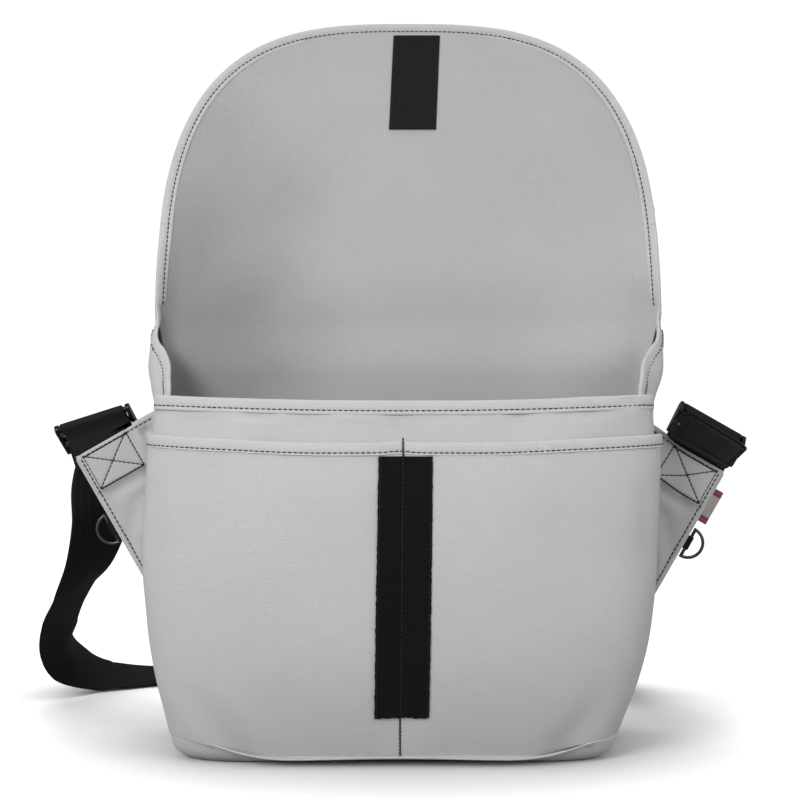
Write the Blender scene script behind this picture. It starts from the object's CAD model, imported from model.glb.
# Canvas shoulder bag: bound front pocket, raised back flap, a buckled wing on each side, and
# a webbing strap lying on the floor behind it.
# Shapes are worked out in millimetres and scaled to metres when a mesh is made. The front of
# the bag faces -y, x runs to the right as seen from the front, and the floor is z = 0.
import math
import bmesh
import bpy
import numpy as np
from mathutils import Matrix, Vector


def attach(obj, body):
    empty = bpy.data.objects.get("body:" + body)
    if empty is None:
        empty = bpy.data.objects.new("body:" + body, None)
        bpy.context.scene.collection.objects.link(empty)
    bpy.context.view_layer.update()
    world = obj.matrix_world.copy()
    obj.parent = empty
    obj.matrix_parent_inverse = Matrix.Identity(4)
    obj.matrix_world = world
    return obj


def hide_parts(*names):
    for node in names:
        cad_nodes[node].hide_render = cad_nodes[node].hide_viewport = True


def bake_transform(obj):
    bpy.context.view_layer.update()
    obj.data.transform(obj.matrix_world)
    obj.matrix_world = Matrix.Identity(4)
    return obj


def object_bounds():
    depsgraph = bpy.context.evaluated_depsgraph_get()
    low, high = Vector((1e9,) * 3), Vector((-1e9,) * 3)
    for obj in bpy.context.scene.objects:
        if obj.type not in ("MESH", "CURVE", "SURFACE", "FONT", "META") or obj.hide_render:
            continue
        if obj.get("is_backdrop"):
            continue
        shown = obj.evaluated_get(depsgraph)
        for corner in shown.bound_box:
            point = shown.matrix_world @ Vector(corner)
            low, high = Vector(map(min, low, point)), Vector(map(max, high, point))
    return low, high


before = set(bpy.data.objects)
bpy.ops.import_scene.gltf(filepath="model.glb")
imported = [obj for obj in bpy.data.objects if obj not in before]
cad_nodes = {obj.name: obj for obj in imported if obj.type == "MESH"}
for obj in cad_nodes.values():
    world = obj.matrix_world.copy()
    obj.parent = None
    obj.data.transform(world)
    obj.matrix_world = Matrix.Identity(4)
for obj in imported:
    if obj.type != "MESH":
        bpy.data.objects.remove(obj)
cad_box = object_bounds()
MM = 0.001

# ---------------------------------------------------------------- dimensions (mm)
BODY_W, BASE_W = 367.0, 302.0               # widths at the waist and at the floor
WAIST, RIM, HINGE = 138.0, 258.0, 328.0     # heights
BELLY, BACK, SIDE_Y = 75.0, 62.0, -18.0     # depth to the front, y of the back, y of the front seam
FILLET = 9.0                                # rounding at the floor
CLOTH_T = 1.5
POCKET_OUT = 4.5                            # the pocket lies this far in front of the front panel
FLAP_L, FLAP_HW, FLAP_X = 244.0, 199.0, 6.5  # flap height, half width and sideways shift
FOLD, SPLIT = 140.0, 70.0                   # flap fold, and where its two panels meet
LEAN = math.radians(12.0)                   # backward lean of the flap
TIP_X, TIP_Z, RISE = 250.0, 204.0, 11.0     # wing tip; the left wing sits higher by RISE
WING_Y, STACK = 28.0, 6.7                   # front and thickness of the wing's layers
MID_Y = WING_Y + STACK / 2
WING_ANGLE = math.radians(29.7)
COS_W, SIN_W = math.cos(WING_ANGLE), math.sin(WING_ANGLE)
WEB_W, WEB_T = 50.0, 1.6
BUCKLE_IN = 26.5                            # buckle middle, in from the wing tip
LOCK_H, CAM_H = 17.0, 8.0                   # left and right buckle bars above the wing's top edge
LOCK_ROLL, CAM_TILT = math.radians(12.0), math.radians(82.0)
CAMERA_Y, CAMERA_Z = -1045.0, 258.0
SIDE_NAME = {-1: "left", 1: "right"}
SIDE_RISE = {-1: RISE, 1: 0.0}


# ---------------------------------------------------------------- numbers and arrays
def lerp(start, end, t):
    return start + (end - start) * t


def clamp(t, low=0.0, high=1.0):
    return np.minimum(high, np.maximum(low, t))


def smooth(t):
    t = clamp(t)
    return t * t * (3 - 2 * t)


def signed_power(value, power):
    return np.sign(value) * np.abs(value) ** power


def bell(value, centre, width):
    return np.exp(-((value - centre) / width) ** 2)


def noise(x, y, seed=0):
    """Smooth deterministic noise in -1..1."""
    x, y = np.broadcast_arrays(np.asarray(x, float), np.asarray(y, float))
    xi, yi = np.floor(x), np.floor(y)
    fx, fy = smooth(x - xi), smooth(y - yi)

    def corner(i, j):
        value = np.sin(i * 127.1 + j * 311.7 + seed * 74.7) * 43758.5453
        return (value - np.floor(value)) * 2 - 1
    low = lerp(corner(xi, yi), corner(xi + 1, yi), fx)
    high = lerp(corner(xi, yi + 1), corner(xi + 1, yi + 1), fx)
    return lerp(low, high, fy)


def join(*parts):
    """Coordinates broadcast together and stacked on a last axis."""
    return np.stack(np.broadcast_arrays(*parts), -1)


def unit(v):
    return v / np.maximum(np.linalg.norm(v, axis=-1, keepdims=True), 1e-9)


def tangents(points):
    return unit(np.gradient(points, axis=0))


def square_to(vectors, axes):
    """Vectors turned square to the axes, row by row."""
    return unit(vectors - axes * np.sum(vectors * axes, 1, keepdims=True))


def arc(points):
    """Length along a path at each of its points."""
    return np.concatenate([[0], np.cumsum(np.linalg.norm(np.diff(points, axis=0), axis=1))])


def interp_rows(at, length, rows):
    return np.stack([np.interp(at, length, column) for column in rows.T], -1)


# ---------------------------------------------------------------- body outline
def floor_inset(z):
    z = np.asarray(z, float)
    return np.where(z < FILLET, FILLET - np.sqrt(
        np.maximum(0, FILLET ** 2 - (FILLET - np.minimum(z, FILLET)) ** 2)), 0)


def half_width(z):
    z = np.asarray(z, float)
    low = BODY_W / 2 - (BODY_W - BASE_W) / 2 * clamp(1 - z / WAIST) ** 2
    high = BODY_W / 2 - 2 * clamp((z - WAIST) / (RIM - WAIST), 0, 1.2) ** 2
    hollow = 2.6 * smooth((z - 2) / 40) * smooth((160 - z) / 60)
    return np.where(z < WAIST, low, high) - floor_inset(z) - hollow


def front_depth(z):
    """Depth of the front face from the front seam at SIDE_Y."""
    z = np.asarray(z, float)
    fullest = 95
    low = BELLY - 24 * clamp(1 - z / fullest) ** 2
    high = BELLY - 30 * clamp((z - fullest) / (RIM - fullest), 0, 1.1) ** 2
    return np.where(z < fullest, low, high) - floor_inset(z) + SIDE_Y


def back_half_width(z):
    z = np.asarray(z, float)
    waist = BODY_W / 2 - 6
    low = lerp(BASE_W / 2 - 3, waist, 1 - clamp(1 - z / WAIST) ** 2)
    high = lerp(waist, FLAP_HW - 5, clamp((z - WAIST) / (HINGE - WAIST)))
    return np.where(z < WAIST, low, high) - floor_inset(z)


def outline_power(z):
    """Superellipse power: squarer at the floor."""
    return lerp(3.6, 2.8, clamp(np.asarray(z, float) / 150))


def middle_x(z):
    """Sideways sway of the bag's middle with height."""
    z = np.asarray(z, float)
    sway = -4.6 * clamp(1 - z / 115) ** 1.5 - 0.5 + 3.1 * smooth((z - 140) / 95)
    return sway + (FLAP_X - 2.6) * smooth((z - 240) / 86)


def front_point(across, z, out=0.0):
    """Point and outward normal of the front face; across in -1..1, z height, out outwards."""
    across, z = np.broadcast_arrays(np.asarray(across, float), np.asarray(z, float))
    angle = np.sign(across) * np.arcsin(np.minimum(np.abs(across) ** 1.45, 1.0))
    power, width, depth = outline_power(z), half_width(z), front_depth(z)
    sine, cosine = np.sin(angle), np.maximum(np.cos(angle), 0)
    steep = 2 * (power - 1) / power
    normal = unit(join(signed_power(sine, steep) / width, -signed_power(cosine, steep) / depth, 0.0))
    point = join(width * signed_power(sine, 2 / power) + middle_x(z),
                 SIDE_Y - depth * signed_power(cosine, 2 / power), z)
    return point + out * normal, normal


def spread(count, crowding=1.7):
    """Stations from -1 to 1, crowded towards both ends."""
    at = np.linspace(-1, 1, count)
    return np.sign(at) * (1 - (1 - np.abs(at)) ** crowding)


def gusset_x(depth, z):
    """Half width of the body side; depth 0 at the front seam, 1 at the back."""
    flat = lerp(half_width(np.minimum(z, RIM)), back_half_width(z), depth)
    return flat + 5 * np.sin(np.pi * depth) * clamp(z / 60)


# ---------------------------------------------------------------- mesh helpers
def register(ob, slot, replaces=None, ride=None, blend=None):
    if ride:
        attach(ob, ride)
    if blend:
        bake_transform(ob)
    if replaces:
        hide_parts(replaces)


def new_object(name, verts, faces, uvs, material):
    mesh = bpy.data.meshes.new(name)
    scaled = (np.asarray(verts, float) * MM).tolist()
    mesh.from_pydata(scaled, [], [tuple(int(i) for i in face) for face in faces])
    mesh.update()
    if uvs is not None:
        layer = mesh.uv_layers.new(name="weave")
        index = np.zeros(len(mesh.loops), np.int32)
        mesh.loops.foreach_get("vertex_index", index)
        layer.data.foreach_set("uv", np.asarray(uvs, np.float32)[index].ravel())
    mesh.polygons.foreach_set("use_smooth", [True] * len(mesh.polygons))
    ob = bpy.data.objects.new(name, mesh)
    bpy.context.scene.collection.objects.link(ob)
    mesh.materials.append(material)
    mesh.set_sharp_from_angle(angle=math.radians(48))
    return ob


def face_outwards(ob, fill_ends=False):
    bm = bmesh.new()
    bm.from_mesh(ob.data)
    if fill_ends:
        bmesh.ops.holes_fill(bm, edges=[edge for edge in bm.edges if edge.is_boundary])
    bmesh.ops.recalc_face_normals(bm, faces=bm.faces)
    bm.to_mesh(ob.data)
    bm.free()


def solidify(ob, thickness, offset):
    modifier = ob.modifiers.new("thick", "SOLIDIFY")
    modifier.thickness = thickness * MM
    modifier.offset = offset


def band(first, second, count, flip=False):
    """Quads between two closed rings that start at the given vertices."""
    quads = [(first + i, first + (i + 1) % count, second + (i + 1) % count, second + i)
             for i in range(count)]
    return [(a, d, c, b) for a, b, c, d in quads] if flip else quads


def grid_normals(points):
    return unit(np.cross(np.gradient(points, axis=0), np.gradient(points, axis=1)))


def sheet(name, outer, uv, thickness, material, flip=False, **told):
    """Closed sheet: outer is the grid of its outer face, the thickness goes the other way."""
    rows, cols = outer.shape[:2]
    count = rows * cols
    inner = outer - grid_normals(outer) * (-1 if flip else 1) * thickness
    verts = np.concatenate([outer.reshape(-1, 3), inner.reshape(-1, 3)])
    index = np.arange(count).reshape(rows, cols)
    a, b = index[:-1, :-1].ravel(), index[1:, :-1].ravel()
    c, d = index[1:, 1:].ravel(), index[:-1, 1:].ravel()
    top = np.stack([a, b, c, d], 1)
    bottom = np.stack([a, d, c, b], 1) + count
    loop = np.concatenate([index[:, 0], index[-1, 1:], index[-2::-1, -1], index[0, -2:0:-1]])
    following = np.roll(loop, -1)
    if flip:
        top, bottom = top[:, ::-1], bottom[:, ::-1]
        loop, following = following, loop
    walls = np.stack([following, loop, loop + count, following + count], 1)
    faces = np.concatenate([top, bottom, walls])
    ob = new_object(name, verts, faces, np.concatenate([uv.reshape(-1, 2)] * 2), material)
    register(ob, **told)


def sweep(name, rings, uv, material, **told):
    """Closed tube through rings of points, with its ends filled."""
    count, size = rings.shape[:2]
    faces = []
    for k in range(count - 1):
        faces += band(k * size, (k + 1) * size, size)
    ob = new_object(name, rings.reshape(-1, 3), faces, uv.reshape(-1, 2), material)
    face_outwards(ob, fill_ends=True)
    register(ob, **told)


def ribbon(name, centres, widthways, normals, width, thickness, ripple=0.0, seed=0, **told):
    """Flat webbing with rounded edges along the centres."""
    across = np.concatenate([[-1, -0.985], np.linspace(-0.95, 0.95, 11), [0.985, 1]])
    edge = 1 - np.abs(across)
    half = thickness / 2 * np.where(edge < 0.004, 0.25, np.where(edge < 0.03, 0.8, 1.0))
    length = arc(centres)[:, None]
    lift = ripple * noise(length / 28.0, across * 1.3, seed)
    widthways = np.broadcast_to(widthways, centres.shape)
    middle = centres[:, None] + widthways[:, None] * (width / 2 * across)[:, None]
    top = middle + normals[:, None] * (lift + half)[..., None]
    bottom = middle + normals[:, None] * (lift - half)[..., None]
    uv = join(across * width / 2, length)
    sweep(name, np.concatenate([top, bottom[:, ::-1]], 1),
          np.concatenate([uv, uv[:, ::-1]], 1), WEBBING, slot="webbing", **told)


class Stitches:
    """Makes one mesh of many stitches: short arched threads whose ends dip into the cloth."""
    # along the stitch, height, thickness factor
    PROFILE = [(-0.5, -0.35, 0.55), (-0.36, 0.1, 0.95), (0.0, 0.35, 1.08),
               (0.36, 0.1, 0.95), (0.5, -0.35, 0.55)]
    LIFT = 0.18
    SKEW = 0.07

    def __init__(self, name):
        self.name, self.verts, self.faces = name, [], []

    def line(self, points, normals, pitch=3.9, radius=0.42, share=0.78, start=0.0):
        """Stitches along a path; share is the part of the pitch a thread covers."""
        points = np.asarray(points, float)
        normals = np.broadcast_to(np.asarray(normals, float), points.shape)
        length = arc(points)
        run = length[-1] - start
        count = max(1, int(round(run / pitch)))
        at = start + (np.arange(count) + 0.5) * run / count
        size = run / count * share
        centres = interp_rows(at, length, points)
        ups = unit(interp_rows(at, length, normals))
        ahead = unit(interp_rows(at + 0.3, length, points) - interp_rows(at - 0.3, length, points))
        sides = unit(np.cross(ups, ahead))
        for i in range(count):
            base = len(self.verts)
            skew = self.SKEW * math.sin(i * 12.9898 + points[0][0])
            for along, height, swell in self.PROFILE:
                centre = (centres[i] + ahead[i] * along * size + sides[i] * (skew * 3.2 * along)
                          + ups[i] * (self.LIFT + height * 0.5))
                for j in range(6):
                    turn = j * math.pi / 3
                    ring = sides[i] * math.cos(turn) + ups[i] * math.sin(turn)
                    self.verts.append(centre + ring * radius * swell)
            for k in range(4):
                self.faces += band(base + k * 6, base + k * 6 + 6, 6)
            self.faces.append(tuple(base + j for j in range(5, -1, -1)))
            self.faces.append(tuple(base + 24 + j for j in range(6)))

    def make(self, **told):
        verts = np.array(self.verts)
        ob = new_object(self.name, verts, self.faces, verts[:, [0, 2]], THREAD)
        register(ob, slot="webbing", **told)


# ---------------------------------------------------------------- shader helpers
def wire(tree, socket, value):
    """Links a shader value to a socket, or stores a number or colour in it."""
    if isinstance(value, Value):
        tree.links.new(value.socket, socket)
    else:
        socket.default_value = (*value, 1) if isinstance(value, tuple) else value


def add_node(tree, kind, inputs={}, out=0, **settings):
    node = tree.nodes.new("ShaderNode" + kind)
    for key, setting in settings.items():
        setattr(node, key, setting)
    for key, value in inputs.items():
        wire(tree, node.inputs[key], value)
    return Value(tree, node.outputs[out])


class Value:
    """Output of a shader node; arithmetic on it adds Math nodes."""
    def __init__(self, tree, socket):
        self.tree, self.socket = tree, socket

    def math(self, operation, *inputs):
        return add_node(self.tree, "Math", dict(enumerate(inputs)), operation=operation)

    def __add__(self, other):
        return self.math("ADD", self, other)

    def __sub__(self, other):
        return self.math("SUBTRACT", self, other)

    def __rsub__(self, other):
        return self.math("SUBTRACT", other, self)

    def __mul__(self, other):
        return self.math("MULTIPLY", self, other)

    def __pow__(self, other):
        return self.math("POWER", self, other)

    def __gt__(self, other):
        return self.math("GREATER_THAN", self, other)

    def __abs__(self):
        return self.math("ABSOLUTE", self)

    def wave(self, period):
        """Sine whose sign changes once in each half period."""
        return (self * (2 * math.pi / period)).math_of("SINE")

    def math_of(self, operation):
        return self.math(operation, self)


class Material:
    def __init__(self, name):
        self.data = bpy.data.materials.new(name)
        self.data.use_nodes = True
        self.tree = self.data.node_tree
        self.shader = self.tree.nodes["Principled BSDF"]

    def node(self, kind, inputs={}, out=0, **settings):
        return add_node(self.tree, kind, inputs, out, **settings)

    def surface(self, inputs):
        for key, value in inputs.items():
            wire(self.tree, self.shader.inputs[key], value)

    def uv(self):
        """The two coordinates of the weave map, in millimetres on cloth."""
        u = self.node("SeparateXYZ", {0: self.node("UVMap", uv_map="weave")})
        return u, Value(self.tree, u.socket.node.outputs[1])

    def uv_noise(self, u, v, u_scale, v_scale, detail=3.0, rough=0.55):
        vector = self.node("CombineXYZ", {0: u * u_scale, 1: v * v_scale})
        return self.node("TexNoise", {"Scale": 1.0, "Detail": detail, "Roughness": rough,
                                      "Vector": vector}, "Fac")

    def object_noise(self, scale, detail):
        vector = self.node("TexCoord", out="Object")
        return self.node("TexNoise", {"Scale": scale, "Detail": detail, "Vector": vector}, "Fac")

    def plain_weave(self, u, v, u_pitch, v_pitch):
        """Height of a plain weave: the two thread directions take turns on top."""
        warp, weft = u.wave(2 * u_pitch), v.wave(2 * v_pitch)
        over = warp * weft > 0.0
        return abs(warp) * over + abs(weft) * (1.0 - over)

    def mix(self, factor, first, second):
        # sockets 0, 6 and 7 are the factor and the two colours
        return self.node("Mix", {0: factor, 6: first, 7: second}, 2, data_type="RGBA")

    def shades(self, factor, base, dark, light):
        return self.mix(factor, tuple(c * dark for c in base), tuple(c * light for c in base))

    def ramp(self, source, low, high):
        return self.node("MapRange", {"Value": source, "From Min": low, "From Max": high},
                         interpolation_type="SMOOTHSTEP")

    def bump(self, height, distance, strength):
        self.surface({"Normal": self.node("Bump", {"Strength": strength, "Distance": distance,
                                                   "Height": height})})

    def sheen(self, weight, rough):
        self.surface({"Sheen Weight": weight, "Sheen Roughness": rough,
                      "Sheen Tint": (1, 1, 1)})


# ---------------------------------------------------------------- materials
def cloth_material(name, base, slub=0.07, dulled=False):
    """Plain-woven canvas; slub is the strength of the uneven threads."""
    mat = Material(name)
    u, v = mat.uv()
    pitch = 0.85
    weave = mat.plain_weave(u, v, pitch, pitch * 1.08)
    slub_u = mat.uv_noise(u, v, 0.045, 1.15, detail=3.0, rough=0.6)
    slub_v = mat.uv_noise(u, v, 1.15, 0.05, detail=2.0, rough=0.6)
    blotch = mat.uv_noise(u, v, 0.012, 0.014, detail=3.0, rough=0.5)
    grain = mat.uv_noise(u, v, 1.9, 1.9, detail=2.0, rough=0.7)
    # each layer is centred on zero, then weighted
    tone = (slub_u - 0.5) * (slub * 4) + (slub_v - 0.5) * (slub * 2.2)
    tone = tone + (blotch - 0.5) * 0.2 + (weave - 0.64) * 0.28 + (grain - 0.5) * 0.25 + 0.5
    colour = mat.shades(tone, base, dark=0.72, light=1.26)
    if dulled:
        # darker towards the lower left, a little lighter at the lower right
        left = mat.ramp(u + blotch * 60.0, low=5.0, high=-135.0)
        lower = mat.ramp(v + blotch * 50.0, low=255.0, high=10.0)
        shade = left * (lower * 0.31 + 0.07)
        right = mat.ramp(u, low=40.0, high=160.0) * mat.ramp(v, low=150.0, high=-20.0)
        light = 1.0 - (shade - right * 0.10)
        colour = mat.node("VectorMath", {0: colour, "Scale": light}, operation="SCALE")
    mat.surface({"Base Color": colour, "Roughness": grain * 0.12 + 0.82,
                 "Specular IOR Level": 0.25})
    mat.bump(weave + (slub_u + slub_v) * 0.9, distance=0.00022, strength=0.55)
    mat.sheen(weight=0.12, rough=0.6)
    return mat.data


def webbing_material():
    mat = Material("webbing")
    u, v = mat.uv()
    rib_width = 1.55
    ribs = abs(u.wave(2 * rib_width))
    # chevrons: the diagonals turn back every two ribs
    zigzag = u.math("PINGPONG", u, 2 * rib_width)
    diagonal = abs((v + zigzag).wave(2.2))
    height = ribs * 0.6 + diagonal * 0.6
    grain = mat.uv_noise(u, v, 0.9, 0.25)
    colour = mat.shades(height * 0.55 + grain * 0.5, (0.0062, 0.0062, 0.0065),
                        dark=0.35, light=1.5)
    mat.surface({"Base Color": colour, "Roughness": grain * 0.25 + 0.48,
                 "Specular IOR Level": 0.17})
    mat.bump(height, distance=0.0003, strength=0.7)
    mat.sheen(weight=0.012, rough=0.4)
    return mat.data


def loop_tape_material():
    """Fuzzy pile."""
    mat = Material("loop_tape")
    u, v = mat.uv()
    fuzz = mat.uv_noise(u, v, 1.6, 1.6, detail=6.0, rough=0.8)
    clumps = mat.uv_noise(u, v, 0.25, 0.25, detail=3.0, rough=0.6)
    colour = mat.shades((fuzz + clumps) * 0.5, (0.0065, 0.0065, 0.0068), dark=0.3, light=2.0)
    mat.surface({"Base Color": colour, "Roughness": 0.95, "Specular IOR Level": 0.09})
    mat.bump(fuzz + clumps * 0.6, distance=0.0012, strength=1.0)
    mat.sheen(weight=0.03, rough=0.5)
    return mat.data


def hook_tape_material():
    """Rows of small bumps."""
    mat = Material("hook_tape")
    u, v = mat.uv()
    hooks = u.wave(1.35) * v.wave(1.5)
    grain = mat.uv_noise(u, v, 0.8, 0.8)
    colour = mat.shades(hooks * 0.2 + grain, (0.013, 0.013, 0.0135), dark=0.5, light=1.6)
    mat.surface({"Base Color": colour, "Roughness": 0.55, "Specular IOR Level": 0.09})
    mat.bump(hooks * 0.7 + grain, distance=0.0005, strength=0.8)
    mat.sheen(weight=0.03, rough=0.4)
    return mat.data


def plastic_material(name, base, rough):
    mat = Material(name)
    grain = mat.object_noise(scale=900, detail=4)
    cloud = mat.object_noise(scale=60, detail=3)
    mat.surface({"Base Color": mat.shades(cloud, base, dark=0.7, light=1.35),
                 "Roughness": cloud * 0.16 + (rough - 0.08), "Specular IOR Level": 0.2,
                 "Coat Weight": 0.04, "Coat Roughness": 0.15})
    mat.bump(grain + cloud * 2.0, distance=0.00006, strength=0.5)
    return mat.data


def metal_material():
    mat = Material("ring_metal")
    grain = mat.object_noise(scale=1400, detail=3)
    cloud = mat.object_noise(scale=140, detail=4)
    mat.surface({"Base Color": mat.shades(cloud, (0.10, 0.10, 0.105), dark=0.6, light=1.3),
                 "Metallic": 1.0, "Roughness": cloud * 0.25 + 0.22})
    mat.bump(grain, distance=0.00004, strength=0.4)
    return mat.data


def thread_material():
    mat = Material("thread")
    grain = mat.object_noise(scale=2500, detail=2)
    mat.surface({"Base Color": mat.shades(grain, (0.006, 0.006, 0.0065), dark=0.5, light=1.6),
                 "Roughness": 0.6})
    mat.bump(grain, distance=0.0001, strength=0.6)
    return mat.data


def label_material():
    """Plain woven label: pale ground with dark red bands, no lettering."""
    mat = Material("label")
    u, v = mat.uv()
    weave = mat.plain_weave(u, v, 0.35, 0.35)
    grain = mat.uv_noise(u, v, 0.9, 0.9)
    red = mat.mix(weave, (0.11, 0.018, 0.022), (0.27, 0.06, 0.065))
    pale = mat.mix(grain, (0.24, 0.205, 0.20), (0.46, 0.42, 0.41))
    mat.surface({"Base Color": mat.mix(abs(u) > 0.62, pale, red), "Roughness": 0.8})
    mat.bump(weave, distance=0.0001, strength=0.6)
    return mat.data


def floor_material():
    """Grey to the bag, lighter and glowing to the camera, darkened close to the bag."""
    mat = Material("floor")
    seen = mat.node("LightPath", out="Is Camera Ray")
    opening = mat.node("AmbientOcclusion", {"Distance": 0.14}, "AO", samples=8)
    mat.surface({"Base Color": mat.mix(seen, (0.38, 0.38, 0.38), (0.80, 0.80, 0.80)),
                 "Roughness": 1.0, "Specular IOR Level": 0.0, "Emission Color": (1, 1, 1),
                 "Emission Strength": seen * 0.70 * opening ** 4.5})
    return mat.data


CANVAS = cloth_material("canvas", (0.52, 0.528, 0.524))
FLAP_CANVAS = cloth_material("canvas_coated_face", (0.440, 0.447, 0.444), dulled=True)
BINDING = cloth_material("binding", (0.54, 0.548, 0.544), slub=0.08)
INSIDE = cloth_material("canvas_inside", (0.43, 0.436, 0.434))
WEBBING = webbing_material()
LOOP_TAPE = loop_tape_material()
HOOK_TAPE = hook_tape_material()
PLASTIC = plastic_material("buckle_plastic", (0.0032, 0.0032, 0.0035), rough=0.27)
METAL = metal_material()
THREAD = thread_material()
LABEL = label_material()
BOARD = plastic_material("board", (0.05, 0.05, 0.055), rough=0.6)
FOAM = cloth_material("foam", (0.09, 0.09, 0.095))

bag_seams = Stitches("stitches_bag")


# ---------------------------------------------------------------- bindings
def binding(edge_frame, thickness, outer, inner, groove, pucker, seed):
    """Folded strip over an edge: its rings, uv and the line of its stitched groove.

    edge_frame holds the edge points, directions into the panel and outward normals; outer and
    inner are the widths of the strip on the two faces.
    """
    edge, inward, normal = edge_frame
    half = 0.8
    radius = half + thickness
    # section: offset along the normal, distance in from the edge
    depths = [outer, outer - 0.5, groove + 1.6, groove + 0.7, groove, groove - 0.7,
              groove - 1.8, 3.0, 1.6]
    swells = [-0.35, 0.05, 0.18, -0.05, -0.30, -0.05, 0.22, 0.28, 0.12]
    section = [(radius + swell, depth) for depth, swell in zip(depths, swells)]
    for k in range(7):
        turn = math.pi * k / 6
        section.append((radius * math.cos(turn), 1.0 - radius * math.sin(turn) * 0.9))
    for depth, swell in ((1.6, 0.05), (3.0, 0.15), (groove - 0.7, 0.0), (groove, -0.25),
                         (groove + 0.7, 0.0), (inner - 0.5, 0.05), (inner, -0.3)):
        section.append((-(radius + swell), depth))
    section += [(-half, inner), (-half, 1.4), (half, 1.4), (half, outer)]
    section = np.array(section)
    length = arc(edge)
    wobble = (pucker * noise(length / 5.2, seed * 3.1, seed)
              + 0.6 * pucker * noise(length / 17.0, seed, seed + 5))[:, None]
    offset = np.where(section[:, 0] > half + 0.01, section[:, 0] + wobble, section[:, 0])
    depth = section[:, 1] + 0.25 * noise(length / 40.0, seed, seed + 9)[:, None]
    rings = (edge[:, None] + normal[:, None] * offset[..., None]
             + inward[:, None] * depth[..., None])
    groove_line = edge + normal * (radius - 0.28) + inward * groove
    return rings, join(length[:, None], arc(section)), groove_line


def bag_binding(name, edge_frame, groove, pitch, start=0.0, back_seam=None, **shape):
    """Binding of the bag body; back_seam is the depth of a seam on its inner face."""
    edge, inward, normal = edge_frame
    rings, uv, seam = binding(edge_frame, groove=groove, **shape)
    sweep(name + "_fold", rings, uv, BINDING, ride="bag", replaces=name, slot="binding")
    bag_seams.line(seam, normal, pitch, 0.42, start=start)
    if back_seam:
        bag_seams.line(edge - normal * back_seam + inward * groove, -normal, pitch, 0.34,
                       start=start)


def front_edge(top, out):
    """Edge frame along the top of a front-face panel."""
    across = spread(420)
    z = top(front_point(across, 240)[0][:, 0])
    edge, normal = front_point(across, z, out)
    return edge, unit(front_point(across, z - 6, out)[0] - edge), normal


# ---------------------------------------------------------------- front panel
FRONT_COLUMNS = spread(240)
SHORT = 0.6     # a cloth edge stops this far short inside its binding


def rim_top(x):
    return 261.5 - 4.3 * (1 - clamp(np.abs(x) / 176.0) ** 2)


def front_panel():
    across = FRONT_COLUMNS
    top = rim_top(front_point(across, RIM)[0][:, 0]) - SHORT
    hidden = np.tile(np.linspace(6, 205, 14), (len(across), 1))
    heights = np.concatenate([hidden, np.linspace(207, top, 34, axis=-1)], 1)
    points, normals = front_point(across[:, None], heights)
    x, z = points[..., 0], points[..., 2]
    top = rim_top(x)
    near_rim = np.exp(-np.maximum(0, top - 11 - z) / 9.0)
    relief = (0.45 * noise(x / 6.5, z / 30.0, 3)
              + 1.0 * noise(x / 17.0 + z / 60.0, z / 30.0, 4)) * near_rim
    relief = relief + 1.5 * noise(x / 34.0 - z / 50.0, z / 44.0, 6) * smooth((top - 12 - z) / 6)
    relief = relief - 1.2 * bell(x, 0, 16) * smooth((246 - z) / 14)
    length = arc(front_point(across, 240)[0])
    sheet("front_panel_canvas", points + normals * relief[..., None],
          join(length[:, None], heights), CLOTH_T, CANVAS,
          ride="bag", replaces="front_panel", slot="canvas")
    bag_binding("rim_binding", front_edge(rim_top, -CLOTH_T / 2), groove=7.3, pitch=3.95,
                back_seam=1.35, thickness=0.75, outer=10.4, inner=9.6, pucker=0.16, seed=2)


# ---------------------------------------------------------------- pocket
TAPE_LOW, TAPE_TOP = 37.0, 218.6
TAPE_HALF = 19.0    # half width of the loop and hook tapes


def pocket_top(x):
    sag = 5.3 * clamp(np.abs(x) / 184.0) ** 2.2
    return 228.0 + sag + 1.0 * bell(x, 0, 9) - 0.7 * bell(np.abs(x), 70, 40)


def pocket_low(x):
    """Lower edge of the pocket: it lifts at the boxed corners and a little at the middle."""
    return 3.2 + 2.0 * bell(x, 0, 60) + 15.0 * smooth((np.abs(x) - 70) / 95.0) ** 1.5


def pocket_relief(x, z):
    side = np.abs(x)
    near_top = np.exp(-np.maximum(0, pocket_top(x) - 9 - z) / 11.0)
    relief = (0.45 * noise(x / 7.0, z / 30.0, 11) + 0.6 * noise(x / 19.0, z / 40.0, 12)) * near_top
    # drawn in along the middle, full on either side
    relief = relief - 2.6 * bell(x, 0, 15) * smooth((z - 6) / 30)
    relief = relief + 1.5 * bell(side, 62, 46) * smooth((z - 30) / 50) * smooth((225 - z) / 40)
    # broad hollows
    relief = relief + 1.1 * noise(x / 62.0 + 3.3, z / 85.0, 13) + 0.35 * noise(x / 24.0, z / 60.0, 14)
    # soft slanting folds at the lower corners
    low = smooth((70 - z) / 60)
    slant = (z - 20) * 0.55
    relief = relief - 3.2 * bell(side, 120 + slant, 13) * low
    relief = relief + 1.6 * bell(side, 142 + slant, 12) * low
    # hollow beside the upper corners
    return relief - 1.6 * bell(side, 176, 9) * smooth((215 - z) / 30) * smooth((z - 120) / 40)


def pocket_y(x, z):
    """y of the pocket's outer face at a given x and z."""
    power = outline_power(z)
    share = clamp(np.abs(x - middle_x(z)) / (half_width(z) + POCKET_OUT), 0, 0.999)
    y = SIDE_Y - (front_depth(z) + POCKET_OUT) * (1 - share ** power) ** (1 / power)
    return y - pocket_relief(x, z)


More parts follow.
